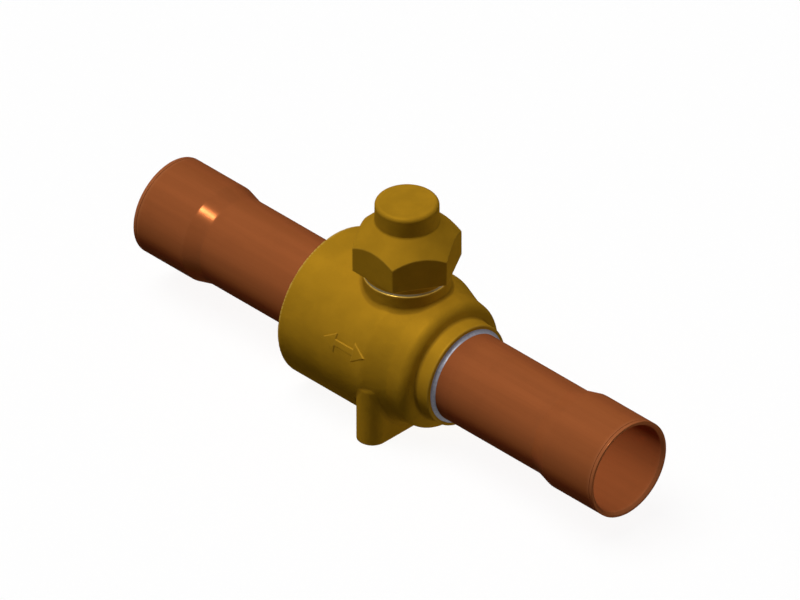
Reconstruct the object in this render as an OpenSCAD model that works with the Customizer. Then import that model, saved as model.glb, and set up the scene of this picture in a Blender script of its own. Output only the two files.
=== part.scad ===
// Brass ball shut-off valve with copper solder ends and a hexagonal seal cap.
// The flow axis runs along X, the spindle along Z, and Z = 0 is the mounting face.

/* [Line tube] */
// Outside diameter of the copper line tube
tube_d = 28.6; // [28.2:0.1:28.8]
// Wall of the copper tube ends
tube_wall = 1.5; // [1.4:0.1:1.6]
// Length of each copper tube end
tube_len = 77; // [66:0.5:100]
// Depth of each solder socket
socket_depth = 20.8; // [14:0.2:24]
// Diametral clearance of a solder socket round the line tube
socket_clear = 0.1; // [0.05:0.05:0.2]
// Length of the swaged cone behind each socket
swage_len = 6; // [5:0.5:8]
// Bend radius where the swaged cone meets the straight tube
swage_bend = 3.2; // [2:0.2:4]
// Width of the turned band on a socket's rim
rim_band = 1.2; // [0.8:0.1:2]
// Depth of the turned band on a socket's rim
rim_drop = 0.12; // [0.08:0.02:0.2]

/* [Body] */
// Outside diameter of the barrel
barrel_d = 48.6; // [48.2:0.1:50]
// Distance from the spindle axis to the open end of the barrel
barrel_back = 30.5; // [30:0.1:32]
// Distance from the spindle axis to the start of the forged shoulder
barrel_front = 4.1; // [3.6:0.1:4.4]
// Distance from the spindle axis to the foot of the shoulder's cone
shoulder_x = 12.5; // [12.2:0.1:13]
// Diameter at the foot of the shoulder's cone
shoulder_d = 42.7; // [42.4:0.1:43]
// Distance from the spindle axis to the edge of the second step
step_x = 18.6; // [18.2:0.1:19]
// Diameter at the edge of the second step
step_d = 40.8; // [40.4:0.1:41.2]
// Diameter of the collar that holds the outlet tube
collar_d = 33; // [32.8:0.1:33.4]
// Distance from the spindle axis to the end of the collar
collar_x = 25.3; // [25:0.1:26]
// Height of the flow axis above the mounting face
axis_h = 23.2; // [23:0.1:23.6]

/* [Foot] */
// Width of the mounting foot
foot_w = 9.6; // [9:0.1:10]
// Reach of the mounting foot to each side of the flow axis
foot_reach = 24; // [23.8:0.1:24.1]
// Distance from the spindle axis to the middle of the foot
foot_x = 4.5; // [4.3:0.1:4.7]
// Distance between the two mounting holes
hole_pitch = 38; // [37:0.5:39]
// Diameter of a mounting hole, tap size
hole_d = 4.2; // [4:0.1:5]
// Depth of a mounting hole
hole_depth = 9; // [7:0.5:10]

/* [Bonnet] */
// Diameter of the boss under the seal cap
boss_d = 26.7; // [26.4:0.1:27]
// Height of the boss's sealing face above the top of the barrel
boss_rise = 1.3; // [1:0.1:1.8]
// Rounding where the boss stands on the barrel
boss_fillet = 2.6; // [2:0.1:3]
// Nominal diameter of the bonnet thread
thread_d = 22; // [21.8:0.1:22.2]
// Pitch of the bonnet thread
thread_pitch = 1.5; // [1:0.25:2]
// Height of the bonnet's neck above the sealing face
neck_h = 12.4; // [12.2:0.1:12.8]

/* [Ball and seats] */
// Diameter of the ball
ball_d = 37; // [36.8:0.1:37.2]
// Bore through the ball
bore_d = 25; // [24.6:0.1:25.2]
// Radial clearance between the ball and a seat
seat_clear = 0.05; // [0.03:0.01:0.08]
// Thickness of each seat behind the ring where the ball touches it
seat_web = 1.25; // [1.2:0.05:1.4]
// Radial clearance between the ball and the cavity
cavity_clear = 0.5; // [0.4:0.1:0.6]

/* [End plug] */
// Height of the step from the cavity out to the end plug's thread
plug_step = 1; // [0.8:0.1:1.2]
// Length of the end plug's thread
plug_thread_len = 10.5; // [9.5:0.5:11]
// Reach of the end plug out of the barrel
plug_proud = 0.9; // [0.5:0.1:1.5]

/* [Spindle] */
// Diameter of the spindle
stem_d = 12; // [11.8:0.1:12.2]
// Diameter of the spindle's inner shoulder
stem_shoulder_d = 16; // [15.6:0.2:16.4]
// Height of the shoulder's underside above the cavity
stem_rise = 0.5; // [0.4:0.1:0.7]
// Thickness of the shoulder
stem_shoulder_h = 3; // [2.6:0.1:3.2]
// Thickness of the thrust washer
washer_h = 1; // [0.8:0.1:1.2]
// Width of the spindle's square end across its flats
square_w = 9; // [8.6:0.1:9.4]
// Length of the square end above the bonnet's neck
drive_h = 10; // [8:0.5:10]
// Width of the tongue that turns the ball
tongue_w = 6; // [5.5:0.1:6.5]
// Length of the tongue that turns the ball
tongue_len = 13; // [12:0.5:14]

/* [Seal cap] */
// Width of the seal cap across its flats
cap_af = 29.5; // [29.2:0.1:30]
// Rounding of the hexagon's upright corners
cap_corner = 2.2; // [1.6:0.1:2.6]
// Diameter of the skirt below the hexagon
skirt_d = 26.6; // [26.4:0.1:26.8]
// Height of the skirt
skirt_h = 2.65; // [2.2:0.05:3.4]
// Thickness of the flat gasket
gasket_h = 0.8; // [0.6:0.1:1]
// Diameter of the knob on the seal cap
knob_d = 19.3; // [19:0.1:20]
// Height of the knob's foot above the seal cap's underside
cone_h = 18.6; // [18.2:0.1:19]
// Height of the seal cap
cap_h = 25.1; // [24.8:0.1:26.6]
// Rounding of the knob's top edge
knob_round = 1.4; // [1:0.1:1.6]

/* [Hidden] */
$fn = 96;

BRASS = [0.66, 0.49, 0.14];
PLUG_BRASS = [0.74, 0.58, 0.24];
COPPER = [0.62, 0.34, 0.20];
SOLDER = [0.62, 0.62, 0.66];
STEEL = [0.70, 0.71, 0.73];
SEAL_WHITE = [0.93, 0.93, 0.90];
RUBBER = [0.10, 0.10, 0.11];

// Radii of the line tube and of what takes it
tube_r = tube_d / 2;
tube_bore_r = tube_r - tube_wall;
socket_bore_r = (tube_d + socket_clear) / 2;
socket_r = socket_bore_r + tube_wall;
joint_clear = 0.05;
tube_pocket_r = tube_r + joint_clear;
solder_leg = 1.5;
solder_gap = 0.02;
solder_edge = 0.06;

// Steps of the flow passage behind each seat
ball_r = ball_d / 2;
seat_back = sqrt(ball_r * ball_r - tube_bore_r * tube_bore_r) + seat_web;
seal_depth = 1.3;
land = 1.2;
tube_stop = seat_back + seal_depth + land;
seat_wall = 4.1;
seat_len = 5.6;
seat_r = tube_bore_r + seat_wall;
seat_front = seat_back - seat_len;
seat_lead = 0.5;
seal_inset = 1.4;
seal_margin = 0.7;
seal_inner_r = tube_bore_r + seal_inset;
seal_outer_r = seat_r - seal_margin;
pocket_front = seat_front + seat_lead;
pocket_r = seat_r + joint_clear;
seal_squeeze = 0.04;

// The forged body
barrel_r = barrel_d / 2;
barrel_round = 2.1;
valley_round = 6;
step_round = 1.2;
collar_draft = 0.15;
step_slope = 1.6;
collar_root_r = collar_d / 2 + collar_draft;
collar_root_x = step_x + step_slope;
collar_round = 2.2;
edge_break = 0.25;
cavity_r = ball_r + cavity_clear;
plug_r = cavity_r + plug_step;
plug_seat_x = barrel_back - plug_thread_len;
nose_clear = 0.1;
nose_r = cavity_r - nose_clear;

// The end plug's outer seal and spanner holes
nose_land = 1;
nose_groove_x = plug_seat_x - nose_land;
nose_groove_w = 2;
nose_groove_depth = 1.5;
nose_groove_r = nose_r - nose_groove_depth;
plug_edge = 0.6;
spanner_hole_d = 2.6;
spanner_hole_depth = 3;
spanner_holes = 4;
plug_face_x = barrel_back + plug_proud;
plug_tube_stop = plug_face_x - (collar_x - tube_stop);

// The bonnet
boss_r = boss_d / 2;
boss_h = barrel_r + boss_rise;
neck_top = boss_h + neck_h;
thread_depth = 0.6134 * thread_pitch;
neck_r = thread_d / 2 - thread_depth;
neck_edge = 0.5;
stem_r = stem_d / 2;
stem_bore_r = stem_r + joint_clear;
shoulder_r = stem_shoulder_d / 2;
shoulder_clear = 0.3;
shoulder_bore_r = shoulder_r + shoulder_clear;
stem_base = cavity_r + stem_rise;
stem_top = neck_top + drive_h;
washer_base = stem_base + stem_shoulder_h;
washer_top = washer_base + washer_h;

// The stop plate in its recess
plate_h = 2;
plate_r = 7.2;
plate_clear = 0.2;
plate_gap = 0.1;
recess_depth = 2.5;
recess_r = plate_r + plate_clear;
recess_floor = neck_top - recess_depth;
plate_base = recess_floor + plate_gap;
tab_w = 4;
tab_r = 8.8;
tab_clear = 0.1;
notch_r = tab_r + plate_clear;
quarter_turn = 90;
ring_h = 1;
ring_clear = 0.05;
ring_base = plate_base + plate_h + ring_clear;
ring_groove_r = 5.2;
ring_r = 7;
ring_gap = 4;

// The spindle's seals
stem_groove_depth = 1.4;
stem_groove_h = 1.8;
stem_groove_lead = 3;
stem_groove_pitch = 4.2;
stem_groove_r = stem_r - stem_groove_depth;
stem_groove_low = washer_top + stem_groove_lead;
stem_groove_high = stem_groove_low + stem_groove_pitch;
tongue_clear = 0.1;
slot_wall = 1.5;
tongue_gap = 0.4;
slot_floor = bore_d / 2 + slot_wall;
tongue_base = slot_floor + tongue_gap;
vent_d = 2.5;
mark_w = 1.2;
mark_depth = 1;

// The seal cap
cap_base = boss_h + gasket_h;
hex_base = cap_base + skirt_h;
knob_foot = cap_base + cone_h;
cap_top = cap_base + cap_h;
hex_corner_r = cap_af / sqrt(3);
knob_r = knob_d / 2;
cone_angle = 48;
knob_foot_round = 0.8;
cap_bore_r = thread_d / 2 + joint_clear;
cap_thread_len = 9.5;
cap_relief_step = 0.5;
cap_relief_gap = 3;
cap_relief_r = cap_bore_r - cap_relief_step;
cap_relief_top = neck_top + cap_relief_gap;
knob_bore_r = 7.2;
knob_bore_gap = 0.7;
knob_bore_top = stem_top + knob_bore_gap;
gasket_side = 0.2;
gasket_in_r = cap_bore_r + gasket_side;
gasket_out_r = skirt_d / 2 - gasket_side;

ARC_STEPS = 6;

// Unit vector from p towards q
function towards(p, q) = (q - p) / norm(q - p);

// Points of the arc that rounds corner b of the path a, b, c
function corner_arc(a, b, c, r) =
    let (u = towards(b, a), v = towards(b, c),
         half = acos(u * v) / 2,
         middle = b + (u + v) / norm(u + v) * r / sin(half),
         start = b + u * r / tan(half) - middle,
         side = u[0] * v[1] - u[1] * v[0] > 0 ? -1 : 1)
    [for (i = [0 : ARC_STEPS]) let (t = side * (180 - 2 * half) * i / ARC_STEPS)
        middle + [start[0] * cos(t) - start[1] * sin(t), start[0] * sin(t) + start[1] * cos(t)]];

// A closed outline from corners [x, y, rounding], where 0 leaves a corner sharp
function rounded(path) =
    let (n = len(path), at = function(i) [path[i % n][0], path[i % n][1]])
    [for (i = [0 : n - 1]) each path[i][2] > 0
        ? corner_arc(at(i + n - 1), at(i), at(i + 1), path[i][2])
        : [at(i)]];

// A solid turned about the flow axis from corners [x, radius, rounding]
module turned_on_flow(path)
    translate([0, 0, axis_h]) rotate([0, 90, 0])
        rotate_extrude() polygon([for (p = rounded(path)) [p[1], p[0]]]);

// A solid turned about the spindle axis from corners [radius, height over the flow axis, rounding]
module turned_on_spindle(path)
    translate([0, 0, axis_h]) rotate_extrude() polygon(rounded(path));

// A cylinder on the spindle axis between two heights over the flow axis
module spindle_cylinder(r, low, high)
    translate([0, 0, axis_h + low]) cylinder(r = r, h = high - low);

// A cylinder on the flow axis between two distances from the spindle axis
module flow_cylinder(r, low, high)
    translate([low, 0, axis_h]) rotate([0, 90, 0]) cylinder(r = r, h = high - low);

// Mirrors a piece of the outlet side to the inlet side
module inlet_side() mirror([1, 0, 0]) children();

// An O-ring on the flow axis
module flow_o_ring(x, middle_r, section_r)
    translate([x, 0, axis_h]) rotate([0, 90, 0])
        rotate_extrude() translate([middle_r, 0]) circle(r = section_r);

// Outline of the forging, turned about the flow axis
body_path = [
    [-barrel_back, 0, 0],
    [-barrel_back, barrel_r, edge_break],
    [barrel_front, barrel_r, barrel_round],
    [shoulder_x, shoulder_d / 2, valley_round],
    [step_x, step_d / 2, step_round],
    [collar_root_x, collar_root_r, collar_round],
    [collar_x, collar_d / 2, edge_break],
    [collar_x, 0, 0]];

// The outline again with points close together, for the blend round the boss
FINE_STEP = 0.15;
fine_outline = let (p = [for (q = rounded(body_path)) if (q[1] > 0) q])
    [for (i = [0 : len(p) - 2]) let (n = ceil(norm(p[i + 1] - p[i]) / FINE_STEP))
        each [for (k = [0 : n - 1]) p[i] + (p[i + 1] - p[i]) * k / n]];

// Radius at which a ball of radius r, resting on the outline, has its centre at x
function resting_radius(x, r) = max([for (p = fine_outline) if (abs(p[0] - x) < r)
    p[1] + sqrt(r * r - pow(x - p[0], 2))]);

// Point of the outline that the ball touches
function touch_point(x, r) = let (rest = resting_radius(x, r))
    [for (p = fine_outline) if (abs(p[0] - x) < r
        && p[1] + sqrt(r * r - pow(x - p[0], 2)) >= rest - 1e-9) p][0];

BLEND_SECTIONS = 48;
BLEND_STEPS = 5;
BLEND_SINK = 0.05;
BLEND_BURIED = 1;

// One section of the blend, where a ball rolls between the boss and the barrel
function blend_section(angle) =
    let (r = boss_fillet,
         x = (boss_r + r) * cos(angle), y = (boss_r + r) * sin(angle),
         rest = resting_radius(x, r), touch = touch_point(x, r),
         z = sqrt(rest * rest - y * y),
         centre = [x, y, z],
         to_boss = [-cos(angle), -sin(angle), 0],
         to_barrel = towards(centre, [touch[0], y * touch[1] / rest, z * touch[1] / rest]),
         span = acos(to_boss * to_barrel),
         deep = r + BLEND_BURIED)
    concat(
        [for (i = [0 : BLEND_STEPS]) let (t = i / BLEND_STEPS)
            centre + (r + BLEND_SINK) / sin(span)
                * (sin((1 - t) * span) * to_boss + sin(t * span) * to_barrel)],
        [centre + deep * to_barrel,
         centre + deep * (to_boss + to_barrel) / (1 + cos(span)),
         centre + deep * to_boss]);

// The forged blend between the boss and the barrel
module boss_blend() {
    sections = [for (i = [0 : BLEND_SECTIONS - 1]) blend_section(360 * i / BLEND_SECTIONS)];
    m = len(sections[0]);
    at = function(i, j) (i % BLEND_SECTIONS) * m + j % m;
    translate([0, 0, axis_h]) polyhedron(
        points = [for (s = sections) each s],
        faces = [for (i = [0 : BLEND_SECTIONS - 1]) for (j = [0 : m - 1]) each
            [[at(i, j), at(i + 1, j), at(i + 1, j + 1)],
             [at(i, j), at(i + 1, j + 1), at(i, j + 1)]]]);
}

// The mounting foot, a bar with round ends across the underside
module foot_bar()
    translate([foot_x, 0, 0]) linear_extrude(axis_h - 2) {
        square([foot_w, 2 * foot_reach - foot_w], center = true);
        for (side = [-1, 1]) translate([0, side * (foot_reach - foot_w / 2)]) circle(d = foot_w);
    }

// A blind tapped hole with a drilled point
module mounting_hole() {
    translate([0, 0, -1]) cylinder(d = hole_d, h = hole_depth + 1);
    translate([0, 0, hole_depth]) cylinder(d1 = hole_d, d2 = 0, h = hole_d / 2 / tan(59));
}

// The notch that stops the tab of the stop plate after a quarter turn
module stop_notch()
    translate([0, 0, axis_h + recess_floor]) linear_extrude(neck_top - recess_floor + 1) {
        side = tab_w / 2 + tab_clear;
        intersection() {
            circle(r = notch_r);
            union() {
                translate([-side, 0]) square([2 * side, 2 * notch_r]);
                translate([0, -side]) square([2 * notch_r, 2 * side]);
                square(2 * notch_r);
            }
        }
    }

module valve_body() color(BRASS) difference() {
    union() {
        turned_on_flow(body_path);
        foot_bar();
        intersection() {
            boss_blend();
            spindle_cylinder(boss_r + 2 * boss_fillet, 0, boss_h);
        }
        turned_on_spindle([[0, 0, 0], [boss_r, 0, 0], [boss_r, boss_h, edge_break], [neck_r, boss_h, 0],
                           [neck_r, neck_top, neck_edge], [0, neck_top, 0]]);
    }
    translate([-barrel_back - 1, -barrel_r, -barrel_r])
        cube([barrel_back + collar_x + 2, 2 * barrel_r, barrel_r]);
    flow_cylinder(plug_r + joint_clear, -barrel_back - 1, -plug_seat_x);
    flow_cylinder(cavity_r, -plug_seat_x - 1, pocket_front);
    flow_cylinder(pocket_r, pocket_front - 1, seat_back);
    difference() {
        flow_cylinder(seal_outer_r, seat_back - 1, seat_back + seal_depth);
        flow_cylinder(seal_inner_r, seat_back - 2, seat_back + seal_depth + 1);
    }
    flow_cylinder(tube_bore_r, seat_back - 1, tube_stop + 1);
    flow_cylinder(tube_pocket_r, tube_stop, collar_x + 1);
    spindle_cylinder(shoulder_bore_r, 0, washer_top);
    spindle_cylinder(stem_bore_r, washer_top - 1, neck_top + 1);
    spindle_cylinder(recess_r, recess_floor, neck_top + 1);
    stop_notch();
    for (side = [-1, 1]) translate([foot_x, side * hole_pitch / 2, 0]) mounting_hole();
}

module end_plug() color(PLUG_BRASS) inlet_side() difference() {
    turned_on_flow([
        [pocket_front, 0, 0], [pocket_front, nose_r, edge_break], [plug_seat_x, nose_r, 0],
        [plug_seat_x, plug_r, edge_break], [plug_face_x, plug_r, plug_edge], [plug_face_x, 0, 0]]);
    flow_cylinder(pocket_r, pocket_front - 1, seat_back);
    difference() {
        flow_cylinder(seal_outer_r, seat_back - 1, seat_back + seal_depth);
        flow_cylinder(seal_inner_r, seat_back - 2, seat_back + seal_depth + 1);
    }
    flow_cylinder(tube_bore_r, seat_back - 1, plug_tube_stop + 1);
    flow_cylinder(tube_pocket_r, plug_tube_stop, plug_face_x + 1);
    difference() {
        flow_cylinder(plug_r + 1, nose_groove_x - nose_groove_w, nose_groove_x);
        flow_cylinder(nose_groove_r, nose_groove_x - nose_groove_w - 1, nose_groove_x + 1);
    }
    for (i = [0 : spanner_holes - 1])
        translate([0, 0, axis_h]) rotate([360 / spanner_holes * (i + 0.5), 0, 0])
            translate([plug_face_x - spanner_hole_depth, 0, (solder_leg + tube_r + plug_r) / 2])
                rotate([0, 90, 0]) cylinder(d = spanner_hole_d, h = spanner_hole_depth + 1);
}

module end_plug_o_ring() color(RUBBER)
    flow_o_ring(nose_groove_w / 2 - nose_groove_x, (nose_groove_r + cavity_r) / 2,
                (cavity_r - nose_groove_r - seal_squeeze) / 2);

// A copper tube end with its swaged solder socket, from a stop outwards
module line_tube(stop) {
    mouth = stop + tube_len;
    cone = mouth - socket_depth;
    straight = cone - swage_len;
    turned_on_flow([
        [stop, tube_bore_r, 0], [stop, tube_r, 0], [straight, tube_r, swage_bend + tube_wall],
        [cone, socket_r, swage_bend], [mouth - rim_band, socket_r, 0],
        [mouth - rim_band, socket_r - rim_drop, 0], [mouth, socket_r - rim_drop, edge_break],
        [mouth, socket_bore_r, edge_break], [cone, socket_bore_r, swage_bend + tube_wall],
        [straight, tube_bore_r, swage_bend]]);
}

module inlet_tube() color(COPPER) inlet_side() line_tube(plug_tube_stop);

module outlet_tube() color(COPPER) line_tube(tube_stop);

// A ring of brazing metal with a hollow face, laid against a face round the tube
module braze_fillet(face) {
    inner = tube_r + solder_gap;
    translate([face, 0, axis_h]) rotate([0, 90, 0]) rotate_extrude() difference() {
        translate([inner, 0]) square(solder_leg);
        translate([inner + solder_leg, solder_leg]) circle(r = solder_leg - solder_edge);
    }
}

module inlet_braze_fillet() color(SOLDER) inlet_side() braze_fillet(plug_face_x);

module outlet_braze_fillet() color(SOLDER) braze_fillet(collar_x);

// A seat ring, hollowed to the ball
module seat_ring() difference() {
    turned_on_flow([[seat_front, tube_bore_r, 0], [seat_front, seat_r, edge_break],
                    [seat_back, seat_r, edge_break], [seat_back, tube_bore_r, 0]]);
    translate([0, 0, axis_h]) sphere(r = ball_r + seat_clear);
}

module inlet_seat() color(SEAL_WHITE) inlet_side() seat_ring();

module outlet_seat() color(SEAL_WHITE) seat_ring();

module seat_o_ring() flow_o_ring(seat_back + seal_depth / 2, (seal_inner_r + seal_outer_r) / 2,
                                 (seal_depth - seal_squeeze) / 2);

module inlet_seat_o_ring() color(RUBBER) inlet_side() seat_o_ring();

module outlet_seat_o_ring() color(RUBBER) seat_o_ring();

module thrust_washer() color(SEAL_WHITE) difference() {
    spindle_cylinder(shoulder_r, washer_base, washer_top);
    spindle_cylinder(stem_bore_r, washer_base - 1, washer_top + 1);
}

// The square drive with its corners turned down to the spindle
module drive_outline(width, r) intersection() {
    square(width, center = true);
    circle(r = r);
}

// A groove round the spindle
module stem_groove(r, low, high) difference() {
    spindle_cylinder(stem_r + 1, low, high);
    spindle_cylinder(r, low - 1, high + 1);
}

module stem() color(STEEL) difference() {
    union() {
        translate([-tongue_w / 2, -tongue_len / 2, axis_h + tongue_base])
            cube([tongue_w, tongue_len, stem_base - tongue_base + 1]);
        spindle_cylinder(shoulder_r, stem_base, washer_base);
        spindle_cylinder(stem_r, washer_base - 1, recess_floor);
        translate([0, 0, axis_h + recess_floor - 1]) linear_extrude(stem_top - recess_floor + 1)
            drive_outline(square_w, stem_r);
    }
    stem_groove(stem_groove_r, stem_groove_low, stem_groove_low + stem_groove_h);
    stem_groove(stem_groove_r, stem_groove_high, stem_groove_high + stem_groove_h);
    stem_groove(ring_groove_r, ring_base, ring_base + ring_h);
    translate([-stem_r - 1, -mark_w / 2, axis_h + stem_top - mark_depth])
        cube([2 * stem_r + 2, mark_w, mark_depth + 1]);
}

// An O-ring in a groove of the spindle
module stem_o_ring(low)
    translate([0, 0, axis_h + low + stem_groove_h / 2]) rotate_extrude()
        translate([(stem_groove_r + stem_bore_r) / 2, 0])
            circle(r = (stem_bore_r - stem_groove_r - seal_squeeze) / 2);

module stem_o_ring_lower() color(RUBBER) stem_o_ring(stem_groove_low);

module stem_o_ring_upper() color(RUBBER) stem_o_ring(stem_groove_high);

module stop_plate() color(STEEL)
    translate([0, 0, axis_h + plate_base]) linear_extrude(plate_h) difference() {
        union() {
            circle(r = plate_r);
            intersection() {
                translate([-tab_w / 2, 0]) square([tab_w, 2 * tab_r]);
                circle(r = tab_r);
            }
        }
        drive_outline(square_w + 2 * joint_clear, stem_r + joint_clear);
    }

module retaining_ring() color(STEEL) difference() {
    spindle_cylinder(ring_r, ring_base, ring_base + ring_h - ring_clear);
    spindle_cylinder(ring_groove_r + joint_clear, ring_base - 1, ring_base + ring_h + 1);
    translate([-ring_gap / 2, -ring_r - 1, axis_h + ring_base - 1])
        cube([ring_gap, ring_r + 1, ring_h + 2]);
}

module ball() color(STEEL) difference() {
    translate([0, 0, axis_h]) sphere(d = ball_d);
    flow_cylinder(bore_d / 2, -ball_d, ball_d);
    translate([-tongue_w / 2 - tongue_clear, -ball_d, axis_h + slot_floor])
        cube([tongue_w + 2 * tongue_clear, 2 * ball_d, ball_d]);
    spindle_cylinder(vent_d / 2, 0, slot_floor + 1);
}

module cap_gasket() color(STEEL) difference() {
    spindle_cylinder(gasket_out_r, boss_h, cap_base);
    spindle_cylinder(gasket_in_r, boss_h - 1, cap_base + 1);
}

module seal_cap() color(BRASS) difference() {
    union() {
        turned_on_spindle([[0, cap_base, 0], [skirt_d / 2, cap_base, edge_break],
                           [skirt_d / 2, hex_base + 1, 0], [0, hex_base + 1, 0]]);
        intersection() {
            translate([0, 0, axis_h + hex_base]) linear_extrude(knob_foot - hex_base)
                polygon(rounded([for (a = [0 : 60 : 300])
                    [hex_corner_r * cos(a), hex_corner_r * sin(a), cap_corner]]));
            turned_on_spindle([
                [0, hex_base, 0], [hex_corner_r + 1, hex_base, 0],
                [hex_corner_r + 1, knob_foot - (hex_corner_r + 1 - knob_r) * tan(cone_angle), 0],
                [knob_r, knob_foot, 0], [0, knob_foot, 0]]);
        }
        turned_on_spindle([
            [0, knob_foot - 2, 0],
            [knob_r + 2 / tan(cone_angle), knob_foot - 2, 0],
            [knob_r, knob_foot, knob_foot_round],
            [knob_r, cap_top, knob_round], [0, cap_top, 0]]);
    }
    spindle_cylinder(cap_bore_r, cap_base - 1, cap_base + cap_thread_len);
    spindle_cylinder(cap_relief_r, cap_base, cap_relief_top);
    spindle_cylinder(knob_bore_r, cap_relief_top - 1, knob_bore_top);
}

valve_body();
end_plug();
end_plug_o_ring();
inlet_tube();
outlet_tube();
inlet_braze_fillet();
outlet_braze_fillet();
inlet_seat();
outlet_seat();
inlet_seat_o_ring();
outlet_seat_o_ring();
thrust_washer();
stem();
stem_o_ring_lower();
stem_o_ring_upper();
stop_plate();
retaining_ring();
ball();
cap_gasket();
seal_cap();
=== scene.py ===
"""Looks of a brass ball shut-off valve with copper solder ends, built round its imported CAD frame.

Sizes are in millimetres, as in the part's source, and the meshes are written in metres.
Heights called level are above the flow axis, and heights called z are above the mounting face.
"""

import logging
import math
from dataclasses import dataclass, field
from enum import Enum
from typing import Callable, Sequence

import bpy
import numpy as np
from mathutils import Matrix, Vector

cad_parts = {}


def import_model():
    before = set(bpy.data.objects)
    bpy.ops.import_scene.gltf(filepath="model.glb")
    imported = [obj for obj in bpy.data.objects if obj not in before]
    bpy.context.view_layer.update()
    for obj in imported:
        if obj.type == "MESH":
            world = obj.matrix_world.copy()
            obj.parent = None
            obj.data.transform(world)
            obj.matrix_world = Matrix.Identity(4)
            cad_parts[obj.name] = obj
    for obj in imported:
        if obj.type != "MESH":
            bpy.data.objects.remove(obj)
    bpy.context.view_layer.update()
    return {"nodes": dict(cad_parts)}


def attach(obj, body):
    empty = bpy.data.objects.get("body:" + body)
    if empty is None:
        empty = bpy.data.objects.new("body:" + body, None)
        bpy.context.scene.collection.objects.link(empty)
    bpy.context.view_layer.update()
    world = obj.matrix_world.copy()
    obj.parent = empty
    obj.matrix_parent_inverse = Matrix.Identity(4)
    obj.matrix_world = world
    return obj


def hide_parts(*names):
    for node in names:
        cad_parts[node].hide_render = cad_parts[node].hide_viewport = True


LOG = logging.getLogger("valve")
MM = 0.001
FLOW_AXIS_Z = 23.2
TINY = 1e-12
SHARP_MARK = 0.6
WIDE_ROUNDING = 0.7
Points = np.ndarray
Distance = Callable[[Points], np.ndarray]
Triple = tuple[float, float, float]
Colour = Triple
WHITE: Colour = (1.0, 1.0, 1.0)


class Body(Enum):
    """The frame's bodies that the pieces made here ride on."""

    HOUSING = "housing"
    CAP = "cap"


class Side(Enum):
    """The end of the valve that a piece belongs to, as its sign along the flow axis."""

    OUTLET = 1
    INLET = -1


class Lathe(Enum):
    """The axis that a piece was turned about."""

    FLOW = "flow"
    SPINDLE = "spindle"


# Shader expressions


class Value:
    """A shader socket that takes part in Python expressions."""

    def __init__(self, sheet: "Sheet", socket: bpy.types.NodeSocket | None) -> None:
        """Keeps the socket and the sheet that it is on."""
        self.sheet = sheet
        self.socket = socket

    def math(self, operation: str, *terms: "Value | float") -> "Value":
        """One Math node's result, from its operation and its inputs in order."""
        return self.sheet.add("ShaderNodeMath", {"operation": operation}, dict(enumerate(terms)))

    def __add__(self, other: "Value | float") -> "Value":
        """Sum."""
        return self.math("ADD", self, other)

    def __radd__(self, other: float) -> "Value":
        """Sum with a number in front."""
        return self.math("ADD", other, self)

    def __sub__(self, other: "Value | float") -> "Value":
        """Difference."""
        return self.math("SUBTRACT", self, other)

    def __rsub__(self, other: float) -> "Value":
        """Difference with a number in front."""
        return self.math("SUBTRACT", other, self)

    def __mul__(self, other: "Value | float") -> "Value":
        """Product."""
        return self.math("MULTIPLY", self, other)

    def __rmul__(self, other: float) -> "Value":
        """Product with a number in front."""
        return self.math("MULTIPLY", other, self)

    def __truediv__(self, other: "Value | float") -> "Value":
        """Quotient."""
        return self.math("DIVIDE", self, other)

    def __rtruediv__(self, other: float) -> "Value":
        """Quotient with a number in front."""
        return self.math("DIVIDE", other, self)

    def __neg__(self) -> "Value":
        """Value with its sign changed."""
        return self * -1.0

    def __abs__(self) -> "Value":
        """Value without its sign."""
        return self.math("ABSOLUTE", self)

    def root(self) -> "Value":
        """Square root."""
        return self.math("SQRT", self)

    def highest(self, other: "Value | float") -> "Value":
        """The greater of two values."""
        return self.math("MAXIMUM", self, other)

    def ease(self, low: float, high: float) -> "Value":
        """Rises smoothly from 0 at the low value to 1 at the high one, which may be below it."""
        sockets = {"Value": self, "From Min": low, "From Max": high}
        return self.sheet.add("ShaderNodeMapRange", {"interpolation_type": "SMOOTHSTEP"}, sockets)


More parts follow.
